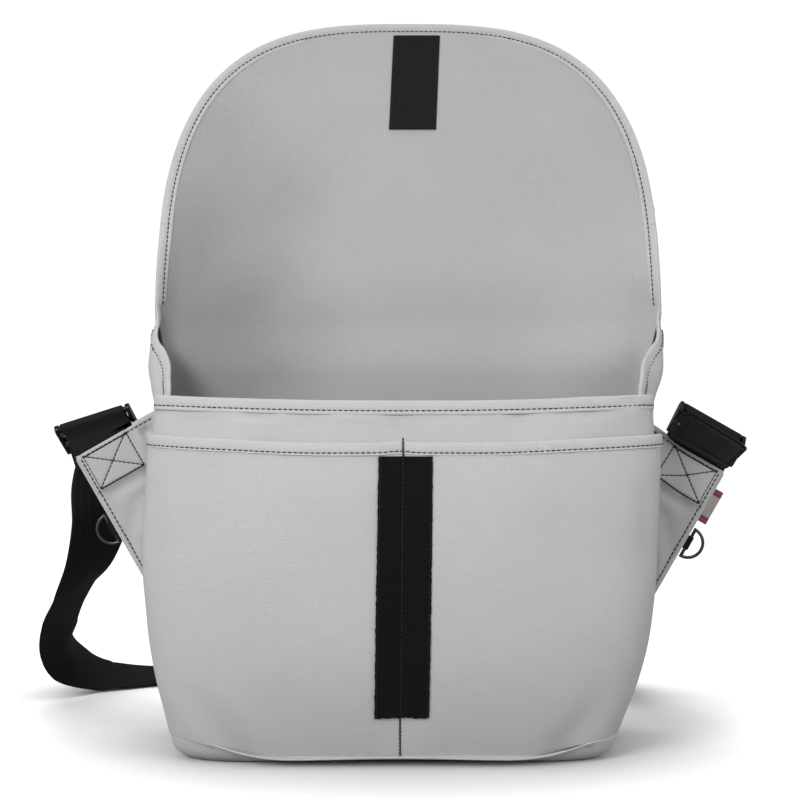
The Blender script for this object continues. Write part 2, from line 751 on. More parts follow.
def pocket():
    across = FRONT_COLUMNS
    low = pocket_low(front_point(across, 60)[0][:, 0])
    top = pocket_top(front_point(across, 225)[0][:, 0]) - SHORT
    heights = np.linspace(low, top, 130, axis=-1)
    points, normals = front_point(across[:, None], heights, POCKET_OUT)
    relief = pocket_relief(points[..., 0], points[..., 2])
    length = arc(front_point(across, 150)[0])
    sheet("pocket_panel_canvas", points + normals * relief[..., None],
          join(length[:, None], heights), CLOTH_T, CANVAS,
          ride="bag", replaces="pocket_panel", slot="canvas")
    edge, inward, normal = front_edge(pocket_top, POCKET_OUT - CLOTH_T / 2)
    edge = edge + normal * pocket_relief(edge[:, 0], edge[:, 2])[:, None]
    bag_binding("pocket_binding", (edge, inward, normal), groove=7.2, pitch=3.95,
                thickness=0.7, outer=9.0, inner=8.6, pucker=0.16, seed=7)


def tape_share(z):
    return (z - TAPE_LOW) / (TAPE_TOP - TAPE_LOW)


def tape_middle(z):
    return lerp(1.2, 4.0, tape_share(z))


def divider_x(z):
    return lerp(0.4, 2.1, tape_share(z))


def loop_tape():
    """Tape up the middle of the pocket, pressed in by the dividing stitch."""
    columns = np.linspace(-TAPE_HALF, TAPE_HALF, 41)
    frayed = TAPE_LOW + 0.6 * noise(columns / 1.6, 0, 21) + 0.3 * noise(columns / 0.8, 0, 22)
    z = np.linspace(frayed, TAPE_TOP, 150, axis=-1)
    x = np.repeat(columns[:, None], 150, 1)
    for column, seed in ((0, 23), (-1, 24)):
        x[column] += 0.25 * noise(z[column] / 2.0, 0, seed)
    middle = tape_middle(z)
    rounding = smooth(np.minimum(TAPE_HALF - np.abs(x), 3.0) / 3.0)
    y = pocket_y(x + middle, z) - (1.0 + 1.0 * rounding)
    y = y + 1.1 * bell(x, divider_x(z) - middle, 1.7)
    y = y + 0.22 * noise(x / 1.5, z / 1.5, 24) + 0.25 * noise(x / 5, z / 6, 25)
    sheet("loop_tape_pile", join(x + middle, y, z), join(x, z), 1.5, LOOP_TAPE,
          ride="bag", replaces="pocket_loop_tape", slot="loop_tape")


def pocket_seams():
    """The dividing stitch from the floor to above the pocket, and the tape's side seams."""
    def seam(z, x, y, **thread):
        bag_seams.line(join(x, y, z), (0, -1, 0), **thread)

    z = np.linspace(6.5, 36.5, 30)
    seam(z, 0.0, pocket_y(0.0, z) - 0.1, pitch=3.0, radius=0.62, share=0.96)
    z = np.linspace(37.5, 218, 120)
    x = divider_x(z)
    seam(z, x, pocket_y(x, z) - 1.1, pitch=3.4, radius=0.42, share=0.85)
    z = np.linspace(218.5, 231.5, 14)
    seam(z, 2.1, pocket_y(0.0, z) - 1.3, pitch=2.2, radius=0.6, share=1.0)
    z = np.linspace(38.5, 217.5, 100)
    for side in (-17.6, 17.6):
        x = tape_middle(z) + side
        seam(z, x, pocket_y(x, z) - 1.75, pitch=3.0, radius=0.26, share=0.8)


# ---------------------------------------------------------------- gussets
# share of the depth from front to back, height of the gusset's top edge
GUSSET_TOP = np.array([
    (0, 261.0), (0.10, 264.5), (0.22, 269.0), (0.41, 281.5), (0.60, 295.5),
    (0.72, 306.0), (0.79, 315.5), (0.835, 327.6), (1.0, 326.0)])


def gusset_grid(side):
    share = np.linspace(0, 1, 46)
    top = np.interp(share, *GUSSET_TOP.T) - SHORT
    kernel = np.array([1, 2, 3, 4, 3, 2, 1]) / 16.0
    eased = np.convolve(np.pad(top, 3, mode="edge"), kernel, mode="valid")
    top = np.where((share > 0.06) & (share < 0.8), eased, top)
    z = np.linspace(5, top, 90, axis=-1)
    share = share[:, None]
    below = top[:, None] - z
    x = gusset_x(share, z) + 4.6 * smooth((z - 285) / 40) * smooth((share - 0.6) / 0.4)
    # bulge of the upper middle, and a second one close to the back
    x = x + (10.5 * smooth((z - 248) / 46) * smooth(share / 0.36)
             * (1 - smooth((share - 0.66) / 0.22)))
    x = x + ((4.4 if side < 0 else 3.2) * smooth((share - 0.62) / 0.14)
             * (1 - smooth((share - 0.93) / 0.07))
             * smooth((z - 272) / 34) * (1 - 0.9 * smooth((z - 306) / 14)))
    # the top edge leans inwards
    bend = clamp((below - 11) / 21)
    lean = 0.95 * (np.maximum(0, 11 - below) + 21 * (0.5 - bend + bend ** 3 - 0.5 * bend ** 4))
    x = x - (lean * lerp(0.45, 1.0, smooth(share / 0.5))
             * (1 - clamp((share - 0.5) / 0.36) ** 1.5))
    # puckers under the binding, and broad waves
    puckered = np.exp(-np.maximum(0, below - 14) / 14.0) * smooth((below - 9) / 9)
    x = x + (0.9 * noise(share * 13, z / 26.0, 31 + side)
             + 1.0 * noise(share * 6.0, z / 18.0, 32 + side)) * puckered
    x = x + 1.2 * noise(share * 2.2, z / 60.0, 33 + side) * np.sin(np.pi * share)
    return join(side * x + middle_x(z), lerp(SIDE_Y + 0.2, BACK + 0.4, share), z)


def soften(rows, reach):
    """Rows averaged with triangular weights over their neighbours."""
    weights = np.concatenate([np.arange(1, reach + 2), np.arange(reach, 0, -1)])
    weights = weights / weights.sum()
    return np.stack([np.convolve(np.pad(column, reach, mode="reflect", reflect_type="odd"),
                                 weights, mode="valid") for column in rows.T], 1)


def gusset(side):
    """Side panel with its binding; returns the stations and edge frame of its whole top."""
    name = SIDE_NAME[side]
    points = gusset_grid(side)
    sheet(f"side_gusset_{name}_canvas", points, points[..., 1:], CLOTH_T, CANVAS, flip=side < 0,
          ride="bag", replaces=f"side_gusset_{name}", slot="canvas")
    normals = grid_normals(points)
    normals = normals * np.sign(side * normals[..., :1])
    station = np.linspace(0, 1, 120)
    known = np.linspace(0, 1, len(points))
    edge = interp_rows(station, known, points[:, -1] - normals[:, -1] * CLOTH_T / 2)
    inward = unit(interp_rows(station, known, points[:, -8] - points[:, -1]))
    edge, inward = soften(edge, 4), unit(soften(inward, 6))
    ahead = tangents(edge)
    inward = square_to(inward, ahead)
    outward = unit(np.cross(ahead, inward))
    outward = outward * np.sign(np.sum(outward * np.array([side, -0.3, 0.2]), 1, keepdims=True))
    keep = station <= 0.69
    bag_binding(f"gusset_binding_{name}", (edge[keep], inward[keep], outward[keep]),
                groove=7.0, pitch=3.9, start=1.5, back_seam=1.3,
                thickness=0.75, outer=10.0, inner=9.4, pucker=0.3, seed=41 + side)
    # topstitching beside the front and back seams: column, first row
    for column, row in ((2, 8), (-4, 6)):
        normal = normals[column, row:-14]
        bag_seams.line(points[column, row:-14] + normal * 0.05, normal, 3.95, 0.3)
    return station, edge, inward, outward


# ---------------------------------------------------------------- back, base and lining
def back_panel():
    heights = np.linspace(4, HINGE - 4, 90)
    across = np.linspace(-1, 1, 120)
    x = np.outer(across, back_half_width(heights))
    z = np.repeat(heights[None], 120, 0)
    bulge = 4.5 * (1 - np.abs(across[:, None]) ** 4) * np.sin(np.pi * clamp(z / HINGE)) ** 0.6
    y = BACK + CLOTH_T + bulge + 1.2 * noise(x / 60, z / 70, 51)
    points = join(x + middle_x(z), y, z)
    sheet("back_panel_canvas", points, join(x, z), CLOTH_T, CANVAS, flip=True,
          ride="bag", replaces="back_panel", slot="canvas")
    for seam in (points[3, 4:-3], points[-4, 4:-3], points[4:-4, -6], points[4:-4, 8]):
        bag_seams.line(seam + np.array([0, 0.1, 0]), (0, 1, 0), 3.95, 0.42)


def body_ring(z, out):
    """Outline of the body at height z: the front from left to right, then round the back."""
    front = front_point(spread(64), z, out)[0]
    share = np.linspace(0.08, 1.0, 12)
    right = join(gusset_x(share, z) + out, lerp(SIDE_Y, BACK - 1, share), z)
    back_x = np.linspace(right[-1, 0], -right[-1, 0], 30)[1:-1]
    rest = np.concatenate([right, join(back_x, BACK - 1, z), right[::-1] * np.array([-1, 1, 1])])
    rest[:, 0] += float(middle_x(z))
    return np.concatenate([front, rest])


def base_panel():
    rings = []
    # height, offset outwards
    for z, out in ((20.5, 2.6), (16.0, 3.4), (11.0, 3.5), (7.0, 3.0), (4.0, 1.5),
                   (2.0, 0.0), (1.0, -3.5), (0.6, -9.0)):
        ring = body_ring(max(z, 2.5), out)
        x, y = ring[:, 0], ring[:, 1]
        if z > 8:
            # tucked under the pocket's lower edge
            ring[:, 2] = np.where(y < SIDE_Y + 2, np.minimum(z, pocket_low(x) + 3.0), z)
        else:
            # the middle of the front edge is drawn up a little
            ring[:, 2] = z + 4.2 * bell(x, 0, 75) * (y < -20)
        rings.append(ring)
    size = len(rings[0])
    outline = rings[-1]
    # the underside closes in shrinking copies of the last ring
    for scale in (0.8, 0.55, 0.3, 0.1):
        rings.append(join(outline[:, 0] * scale, 3 + (outline[:, 1] - 3) * scale,
                          0.6 + 0.5 * (1 - scale) + (outline[:, 2] - 0.6) * scale))
    faces = []
    for k in range(len(rings) - 1):
        faces += band(k * size, (k + 1) * size, size, flip=True)
    verts = np.concatenate(rings)
    faces.append(tuple(range(len(verts) - size, len(verts)))[::-1])
    uv = join(verts[:, 0], verts[:, 1] - verts[:, 2])
    ob = new_object("base_panel_canvas", verts, faces, uv, CANVAS)
    solidify(ob, thickness=1.2, offset=1)
    register(ob, ride="bag", replaces="base_panel", slot="canvas")


def lining():
    """An open bag inside the body."""
    floor_z, front_top, back_top = 6.5, RIM - 7.5, 247.0
    rings = []
    for level in np.linspace(0, 1, 40):
        x, y, _ = body_ring(lerp(8, 250, level), -2.6).T
        share = clamp((y - SIDE_Y) / (BACK - SIDE_Y))
        slope = lerp(front_top, back_top, smooth((share - 0.1) / 0.8))
        top = np.where(y < SIDE_Y + 2, front_top, np.where(y > BACK - 4, back_top, slope))
        y = np.where(y > 40, np.minimum(y, 53.5), y)
        x = x * (1 - 0.02 * smooth((level - 0.8) / 0.2))
        x = x + 1.0 * noise(y / 30, level * 6, 61) * np.sin(np.pi * level)
        rings.append(join(x, y, lerp(floor_z, top, level)))
    size = len(rings[0])
    faces = []
    for k in range(len(rings) - 1):
        faces += band((k + 1) * size, k * size, size)
    verts = np.concatenate(rings + [[(0, 0, floor_z)]])
    faces += [(i, (i + 1) % size, len(verts) - 1) for i in range(size)]
    uv = join(verts[:, 0] + verts[:, 1], verts[:, 2])
    ob = new_object("lining_canvas", verts, faces, uv, INSIDE)
    solidify(ob, thickness=0.7, offset=0)
    register(ob, ride="bag", replaces="liner", slot="lining")


# ---------------------------------------------------------------- flap surface
def flap_profile():
    """Stations up the flap with the lean, y and z of its middle surface: upright where it is
    sewn to the back, then leaning back."""
    up = np.linspace(-95, 250, 691)
    step = up[1] - up[0]
    lean = LEAN * smooth((up + 34) / 84)
    y, z = np.cumsum(np.sin(lean)) * step, np.cumsum(np.cos(lean)) * step
    hinge = np.argmin(np.abs(up))
    y = y - y[hinge] + BACK + CLOTH_T / 2 - 0.8 - 6.5 * smooth((-up - 4) / 46)
    return up, lean, y, z - z[hinge] + HINGE


FLAP_UP, FLAP_LEAN, FLAP_Y, FLAP_Z = flap_profile()
HOOK_LOW, HOOK_TOP = 151.5, 233.5


def flap_half(v):
    return FLAP_HW * np.maximum(0, 1 - np.abs(v / FLAP_L) ** 3) ** (1 / 3)


def flap_relief(x, v):
    """Relief of the flap towards the front."""
    z = v + HINGE
    shifted = x + FLAP_X
    relief = (0.9 * noise(shifted / 95.0 + 7, v / 80.0, 71)
              + 0.35 * noise(shifted / 33.0, v / 55.0, 72))
    # soft valley and ridge low on the left
    relief = relief - (2.3 * bell(shifted, -152, 15)
                       * smooth((z - 300) / 40) * smooth((440 - z) / 60))
    relief = relief + (1.7 * bell(shifted, -108, 24)
                       * smooth((z - 300) / 50) * smooth((460 - z) / 80))
    # slanting crease near the left foot
    crease = (shifted + 150) * 0.35 - (z - 318)
    relief = relief - 1.3 * bell(crease, 0, 9) * bell(shifted, -150, 42)
    # slanting ridge and hollow on the right
    slant = (shifted - 165) + (z - 400) * 0.55
    fade = smooth((z - 320) / 40) * smooth((500 - z) / 60)
    relief = relief + (1.8 * bell(slant, 0, 20) - 1.2 * bell(slant, 34, 16)) * fade
    # the free edge curls a little to the front
    rim = clamp((np.abs(x) / FLAP_HW) ** 3 + (np.maximum(v, 0) / FLAP_L) ** 3)
    relief = relief + 1.4 * smooth((rim - 0.55) / 0.45) * smooth(v / 40)
    relief = relief + 3.5 * clamp(np.abs(x) / FLAP_HW) ** 2.2 * smooth((v + 6) / 90)
    relief = relief - 2.2 * smooth((v - 20) / 60)
    # flat towards the lower end, and hollows only start above the hinge
    relief = relief * smooth((v + 80) / 70)
    relief = np.where(relief < 0, relief * smooth((v - 2) / 30), relief)
    # the sides turn to the front, most of all near the hinge
    turn = clamp((np.abs(x) - (flap_half(np.maximum(v, 0)) - 21)) / 21, 0, 1.05)
    return relief + 11.5 * turn ** 2 * (1 - 0.9 * smooth((v - 2) / 90))


def flap_point(x, v, out=0.0):
    """x from the flap's own middle, v up from the hinge, out towards the front."""
    x, v = np.broadcast_arrays(np.asarray(x, float), np.asarray(v, float))
    y, z = np.interp(v, FLAP_UP, FLAP_Y), np.interp(v, FLAP_UP, FLAP_Z)
    moved_y = y - np.cos(np.interp(v, FLAP_UP, FLAP_LEAN)) * (out + flap_relief(x, v))
    # folds to the front are scaled about the camera, which keeps the outline seen from there
    scale = (moved_y - CAMERA_Y) / (y - CAMERA_Y)
    return join((x + middle_x(v + HINGE)) * scale, moved_y, CAMERA_Z + (z - CAMERA_Z) * scale)


def flap_normal(x, v):
    """Normal of the flap, towards the front."""
    normal = unit(np.cross(flap_point(x + 1, v) - flap_point(x - 1, v),
                           flap_point(x, v + 1) - flap_point(x, v - 1)))
    return normal * np.sign(-normal[..., 1:2])


def flap_blend(lower, upper, start, end):
    """Blend between two moving parts from one height of the flap to another."""
    ends = [flap_point(0.0, v) for v in (start, end)]
    return (lower, upper, *((0, float(p[1]) * MM, float(p[2]) * MM) for p in ends))


BRIDGE_BLEND = flap_blend("bag", "flap_bridge", -3, 33)
COVER_BLEND = flap_blend("flap_bridge", "flap_cover", FOLD - 17, FOLD + 11)


# ---------------------------------------------------------------- flap pieces
def flap_panels():
    short = 0.9
    columns = spread(150, crowding=1.5)
    rows = np.linspace(-86, SPLIT, 80)
    sewn = (back_half_width(np.minimum(rows + HINGE, HINGE))
            + 4.6 * smooth((rows + HINGE - 285) / 40) - 1.6)
    half = np.where(rows > 0, flap_half(np.maximum(rows, 0)) - short, sewn)
    x = np.outer(columns, half)
    v = np.repeat(rows[None], len(columns), 0)
    sheet("flap_lower_canvas", flap_point(x, v, CLOTH_T / 2), join(x, v), CLOTH_T, FLAP_CANVAS,
          blend=BRIDGE_BLEND, replaces="flap_bridge_panel", slot="canvas")
    x = columns * (float(flap_half(SPLIT)) - short)
    top = (FLAP_L * (1 - clamp(np.abs(x) / FLAP_HW) ** 3) ** (1 / 3)
           - short * smooth((FLAP_HW * 0.99 - np.abs(x)) / 10))
    least = 0.4
    top[[0, -1]] = SPLIT + least
    v = SPLIT + np.outer(np.maximum(top - SPLIT, least), np.linspace(0, 1, 90))
    x = np.repeat(x[:, None], 90, 1)
    sheet("flap_upper_canvas", flap_point(x, v, CLOTH_T / 2), join(x, v), CLOTH_T, FLAP_CANVAS,
          blend=COVER_BLEND, replaces="flap_cover_panel", slot="canvas")


def flap_outline():
    """Heights and edge frame of the flap's free edge, from right to left over the top."""
    turn = np.linspace(0.0002, math.pi - 0.0002, 6000)
    outline = join(FLAP_HW * signed_power(np.cos(turn), 2 / 3),
                   FLAP_L * signed_power(np.sin(turn), 2 / 3))
    length = arc(outline)
    x, v = interp_rows(np.linspace(0, length[-1], 760), length, outline).T
    step_x, step_v = np.gradient(x), np.gradient(v)
    size = np.hypot(step_x, step_v)
    in_x, in_v = -step_v / size, step_x / size
    edge = flap_point(x, v)
    inward = unit(flap_point(x + in_x * 4, v + in_v * 4) - edge)
    return v, edge, inward, flap_normal(x + in_x * 5, np.maximum(v + in_v * 5, 0))


def ease_ends(rows, length, reach):
    """Running mean along the path, only within 60 mm of its two ends."""
    eased = rows.copy()
    for i, at in enumerate(length):
        radius = min(reach, at, length[-1] - at)
        if radius >= 0.05 and not 60.0 <= at <= length[-1] - 60.0:
            eased[i] = rows[np.abs(length - at) <= radius].mean(0)
    return eased


def flap_binding(gusset_edges):
    """Binding round the flap, carried on down the back part of both gussets."""
    pieces = {}
    for side, (station, edge, inward, outward) in gusset_edges.items():
        part = (station >= 0.665) & (station <= 0.832)
        # below the hinge the height only has to be negative
        pieces[side] = (np.full(part.sum(), -1.0), edge[part], inward[part], -outward[part])
    v, edge, inward, normal = (
        np.concatenate([right, free, left[::-1]])
        for right, free, left in zip(pieces[1], flap_outline(), pieces[-1]))
    length = arc(edge)
    edge = ease_ends(edge, length, 5.0)
    inward, normal = ease_ends(inward, length, 14.0), ease_ends(normal, length, 14.0)
    ahead = tangents(edge)
    inward = square_to(inward, ahead)
    normal = square_to(square_to(normal, ahead), inward)
    groove = 6.1
    rings, uv, seam = binding((edge, inward, normal), thickness=0.7, outer=9.6, inner=9.2,
                              groove=groove, pucker=0.14, seed=81)
    low = np.where(v < SPLIT)[0]
    half = len(edge) // 2
    right_end = low[low < half][-1] + 1
    left_start = low[low > half][0] - 1
    right, left = slice(0, right_end + 1), slice(left_start, None)
    cover = slice(right_end, left_start + 1)
    for name, part, blend in (("bridge_binding_right", right, BRIDGE_BLEND),
                              ("bridge_binding_left", left, BRIDGE_BLEND),
                              ("cover_binding", cover, COVER_BLEND)):
        sweep(name + "_fold", rings[part], uv[part], BINDING,
              blend=blend, replaces=name, slot="binding")
    lower, upper = Stitches("stitches_flap_lower"), Stitches("stitches_flap_upper")
    back_seam = edge - normal * 1.35 + inward * groove
    for path, facing in ((seam, normal), (back_seam, -normal)):
        lower.line(path[right], facing[right], pitch=3.8, start=3)
        lower.line(path[left], facing[left], pitch=3.8)
        upper.line(path[cover], facing[cover], pitch=3.8)
    return lower, upper


def hook_shift(v):
    """Sideways place of the hook tape's middle."""
    return lerp(3.6, 7.2, (v - HOOK_LOW) / (HOOK_TOP - HOOK_LOW))


def hook_tape():
    """Tape on the front of the flap, with a seam along each of its sides."""
    x, v = np.meshgrid(np.linspace(-TAPE_HALF, TAPE_HALF, 30),
                       np.linspace(HOOK_LOW, HOOK_TOP, 60), indexing="ij")
    placed = x + hook_shift(v)
    rounding = smooth(np.minimum(TAPE_HALF - np.abs(x), 2.2) / 2.2)
    height = 0.8 + 0.75 * rounding + 0.08 * noise(x, v, 85)
    points = flap_point(placed, v, CLOTH_T / 2) + flap_normal(placed, v) * height[..., None]
    sheet("hook_tape_pile", points, join(x, v), 0.9, HOOK_TAPE,
          ride="flap_cover", replaces="flap_hook_tape", slot="hook_tape")
    seams = Stitches("stitches_hook_tape")
    side = 17.2
    tall, wide = np.linspace(153, 232, 40), np.linspace(-side, side, 20)
    for x, v in ((-side, tall), (side, tall), (wide, 153.2), (wide, 231.8)):
        placed = x + hook_shift(v)
        normal = flap_normal(placed, v)
        seams.line(flap_point(placed, v, CLOTH_T / 2) + normal * 1.3, normal,
                   pitch=3.0, radius=0.25, share=0.8)
    seams.make(ride="flap_cover")


def flap(gusset_edges):
    flap_panels()
    lower, upper = flap_binding(gusset_edges)
    hook_tape()
    lower.make(blend=BRIDGE_BLEND)
    upper.make(blend=COVER_BLEND)


# ---------------------------------------------------------------- wings
# places in the plane of the right wing, as x and z
WING_TIP = np.array([TIP_X, TIP_Z])
ROOT_X = 186.0
ROOT_LOW = np.array([ROOT_X, TIP_Z - (TIP_X - ROOT_X) / math.tan(WING_ANGLE) + 1.0])
ROOT_TOP = np.array([ROOT_X, TIP_Z + (TIP_X - ROOT_X) * math.tan(WING_ANGLE)])
TOP_EDGE, OUTER_EDGE = np.array([-COS_W, SIN_W]), np.array([-SIN_W, -COS_W])
# seams from (across, down) to (across, down): samples, pitch, thread radius, share
WING_SEAMS = [
    (5, 4.4, 66, 4.4, 60, 3.9, 0.42, 0.78),
    (4.4, 5, 4.4, 112, 60, 3.9, 0.46, 0.78),
    (6, 32.5, 44, 32.5, 30, 3.1, 0.6, 1.02),
    (7, 4.9, 44, 4.9, 30, 3.1, 0.58, 1.02),
    (44, 3.5, 44, 32.5, 30, 3.4, 0.42, 0.94),
    (6.6, 3.5, 6.6, 32.5, 30, 3.3, 0.32, 0.95),
    (6, 3.5, 44, 32.5, 40, 3.4, 0.40, 0.92),
    (6, 32.5, 44, 3.5, 40, 3.4, 0.40, 0.92)]


def wing_cloth(side, across, down):
    """Half thickness and middle point of a wing, across from its outer edge and down from
    its top edge."""
    place = WING_TIP + across[..., None] * TOP_EDGE + down[..., None] * OUTER_EDGE
    x, z = place[..., 0], place[..., 1]
    edge = np.minimum(across, down)
    webbed = (smooth((down - 1) / 3) * smooth((36 - down) / 3.4)
              * smooth((across - 0.5) / 3) * smooth((55 - across) / 4))
    half = 1.0 + 1.0 * smooth(edge / 3) + 1.7 * webbed
    fold = 2.0 * noise(down / 34.0, across / 15.0, 91 + side) * smooth((across - 30) / 25)
    fold = fold + (1.0 * noise(down / 15.0, across / 13.0, 93 + side)
                   * smooth((edge - 5) / 8) * (1 - webbed))
    # the cloth dips where the inner webbing ends
    fold = fold + (1.9 * bell(down, 39.5, 4.2)
                   * smooth((across - 4) / 7) * smooth((60 - across) / 14))
    # slanting soft folds in the lower part
    slant = (across - 24) * 0.75 + (down - 55) * 0.66
    fold = fold + ((1.3 if side > 0 else 1.2) * bell(slant, 0, 6.5)
                   * smooth((down - 44) / 10) * smooth((105 - down) / 20))
    fold = fold - ((1.5 if side > 0 else 1.9) * bell(slant, 15, 8)
                   * smooth((down - 46) / 12) * smooth((110 - down) / 20))
    if side < 0:
        # dimples by the bag's side
        fold = fold + (3.2 * bell(across, 57.5, 3.8) * bell(down, 11, 4.2)
                       * smooth((across - 52) / 3))
        fold = fold + 2.0 * bell(across, 58, 8.0) * bell(down, 46, 7.0)
    # the root bends back to the gusset
    y = MID_Y + fold * smooth(edge / 8) + 3.0 * smooth((200 - x) / 14)
    lift = 3.6 * smooth((219 - x) / 27) * smooth((z - 150) / 60) if side > 0 else 0.0
    return half, side * x, y, z + SIDE_RISE[side] + lift


def wing(side):
    name = SIDE_NAME[side]
    down_share = np.linspace(0.03, 1, 150) ** 0.8
    out_share = np.linspace(0, 1, 92) ** 0.85
    down_share, out_share = np.meshgrid(down_share, out_share, indexing="ij")
    top = ROOT_TOP * (1 - out_share[..., None]) + WING_TIP * out_share[..., None]
    from_tip = ROOT_LOW + down_share[..., None] * (top - ROOT_LOW) - WING_TIP
    across, down = from_tip @ TOP_EDGE, from_tip @ OUTER_EDGE
    # round the tip
    radius = 6.0
    gap_a, gap_d = radius - across, radius - down
    distance = np.hypot(gap_a, gap_d)
    outside = (across < radius) & (down < radius) & (distance > radius)
    scale = np.where(outside, radius / np.maximum(distance, 1e-6), 1)
    across = np.where(outside, radius - gap_a * scale, across)
    down = np.where(outside, radius - gap_d * scale, down)
    half, x, y, z = wing_cloth(side, across, down)
    # the seams press the layers together: edge seam, crossed box and its border
    box_a, box_d = across - 25.0, down - 18.0
    half_a, half_d = 19.0, 14.5
    boxed = (np.abs(box_a) < 20.5) & (np.abs(box_d) < 16)
    cross_1 = np.abs(box_a / half_a - box_d / half_d) * 11.5
    cross_2 = np.abs(box_a / half_a + box_d / half_d) * 11.5
    border = np.minimum(np.abs(np.abs(box_a) - half_a) + 10 * (np.abs(box_d) > 15),
                        np.abs(np.abs(box_d) - half_d) + 10 * (np.abs(box_a) > 19.5))
    edge = np.minimum(across, down)
    half = half - 0.5 * (bell(edge, 4.4, 1.0) + bell(border, 0, 1.0)
                         + boxed * (bell(cross_1, 0, 1.0) + bell(cross_2, 0, 1.0)))
    for face, sign in (("front", -1), ("back", 1)):
        sheet(f"wing_{face}_{name}_canvas", join(x, y + sign * half, z), join(across, down),
              0.9, CANVAS, flip=side * sign < 0,
              ride="bag", replaces=f"wing_{face}_{name}", slot="canvas")
    for sign in (-1, 1):
        for a0, d0, a1, d1, samples, pitch, thread, share in WING_SEAMS:
            across, down = np.linspace(a0, a1, samples), np.linspace(d0, d1, samples)

            def face_point(da, dd):
                half, x, y, z = wing_cloth(side, across + da, down + dd)
                return join(x, y + sign * (half - 0.5), z)
            normal = unit(np.cross(face_point(0.6, 0) - face_point(-0.6, 0),
                                   face_point(0, 0.6) - face_point(0, -0.6)))
            normal = normal * np.sign(normal[:, 1:2]) * sign
            bag_seams.line(face_point(0, 0), normal, pitch, thread, share)


# ---------------------------------------------------------------- buckle webbing
def buckle_point(side, x, y, z):
    """Buckle frame to the bag: x along the wing's top edge, y back, z away from the wing."""
    out = TIP_X - BUCKLE_IN * COS_W + x * COS_W + z * SIN_W
    up = TIP_Z + BUCKLE_IN * SIN_W - x * SIN_W + z * COS_W + SIDE_RISE[side]
    return join(side * out, MID_Y + y, up)


def along_bar(side, angle):
    """Direction of the buckle frame's x, turned by an angle in the plane of the wing."""
    return unit(buckle_point(side, math.cos(angle), 0, math.sin(angle))
                - buckle_point(side, 0.0, 0, 0))


def resample_profile(profile, samples=None):
    length = arc(profile)
    samples = samples or max(12, int(length[-1] / 0.7))
    return interp_rows(np.linspace(0, length[-1], samples), length, profile).T


def arc_points(y, z, radius, start, end, count=18):
    angle = np.radians(np.linspace(start, end, count))
    return join(y + radius * np.cos(angle), z + radius * np.sin(angle))


def buckle_webbing(name, side, profile, ride, width=WEB_W, tilt=0.0, height=0.0, roll=0.0,
                   loop_lean=None):
    """Webbing along a profile of (y, z) in the buckle frame; returns centres and width
    directions. It is tilted and raised, then rolled about its own origin."""
    y, z = resample_profile(np.asarray(profile, float))
    y, z = y * math.cos(tilt) - z * math.sin(tilt), y * math.sin(tilt) + z * math.cos(tilt)
    centres = buckle_point(side, -np.sin(roll) * z, y, height + np.cos(roll) * z)
    widthways = np.broadcast_to(along_bar(side, roll), centres.shape)
    if loop_lean is not None:
        # the free part of the loop leans with the turned bar
        free = smooth(z - 2.0)[:, None]
        widthways = (widthways * (1 - free)
                     + along_bar(side, loop_lean) * free / math.cos(loop_lean))
    normals = unit(np.cross(tangents(centres), unit(widthways)))
    ribbon(name + "_weave", centres, widthways, normals, width, WEB_T, ride=ride, replaces=name)
    return centres, widthways


def anchors():
    """Webbing loops from the wings up over the near bar of each buckle."""
    radius = 2.75 + WEB_T / 2
    leg = np.array([(-0.95, -29.5), (-0.95, 2.4), (-0.95, 7.5), (-1.15, 9.8), (-1.9, 12.2)])
    mirror = np.array([-1, 1])
    loop = arc_points(0, LOCK_H, radius, 212, -32, 26)
    buckle_webbing("anchor_webbing_left", -1, np.concatenate([leg, loop, leg[::-1] * mirror]),
                   "bag", width=WEB_W - 1.0, loop_lean=LOCK_ROLL)
    leg = leg[:2]
    loop = arc_points(0, CAM_H, radius, 180, 0)
    buckle_webbing("anchor_webbing_right", 1, np.concatenate([leg, loop, leg[::-1] * mirror]),
                   "bag")


def strap_ends():
    """Strap ends round the buckles' bars; returns the left and the right one."""
    radius = 2.3 + WEB_T / 2
    # the left buckle's middle bar, below and behind its near bar
    bar_turn = math.radians(-45.0)
    bar_y, bar_z = 11 * math.cos(bar_turn), 11 * math.sin(bar_turn)
    front, back = bar_y - radius, bar_y + radius
    lock = dict(ride="buckle_left", height=LOCK_H, roll=LOCK_ROLL)
    left = buckle_webbing("strap_end_left", -1, np.concatenate([
        [(front, bar_z - 2.4)], arc_points(bar_y, bar_z, radius, 180, 0),
        [(back, bar_z - 6), (back, bar_z - 13)]]), **lock)
    buckle_webbing("strap_tail_left", -1, [
        (front, bar_z - 2.9), (front, bar_z - 9), (front + 0.2, bar_z - 17),
        (front, bar_z - 25)], **lock)
    bar_y, bar_z = 19, -3
    right = buckle_webbing("strap_end_right", 1, np.concatenate([
        [(bar_y - 2.4, bar_z + radius)], arc_points(bar_y, bar_z, radius, 90, -90),
        [(12, bar_z - radius), (6, bar_z - radius)]]),
        ride="buckle_right", tilt=CAM_TILT, height=CAM_H)
    return left, right


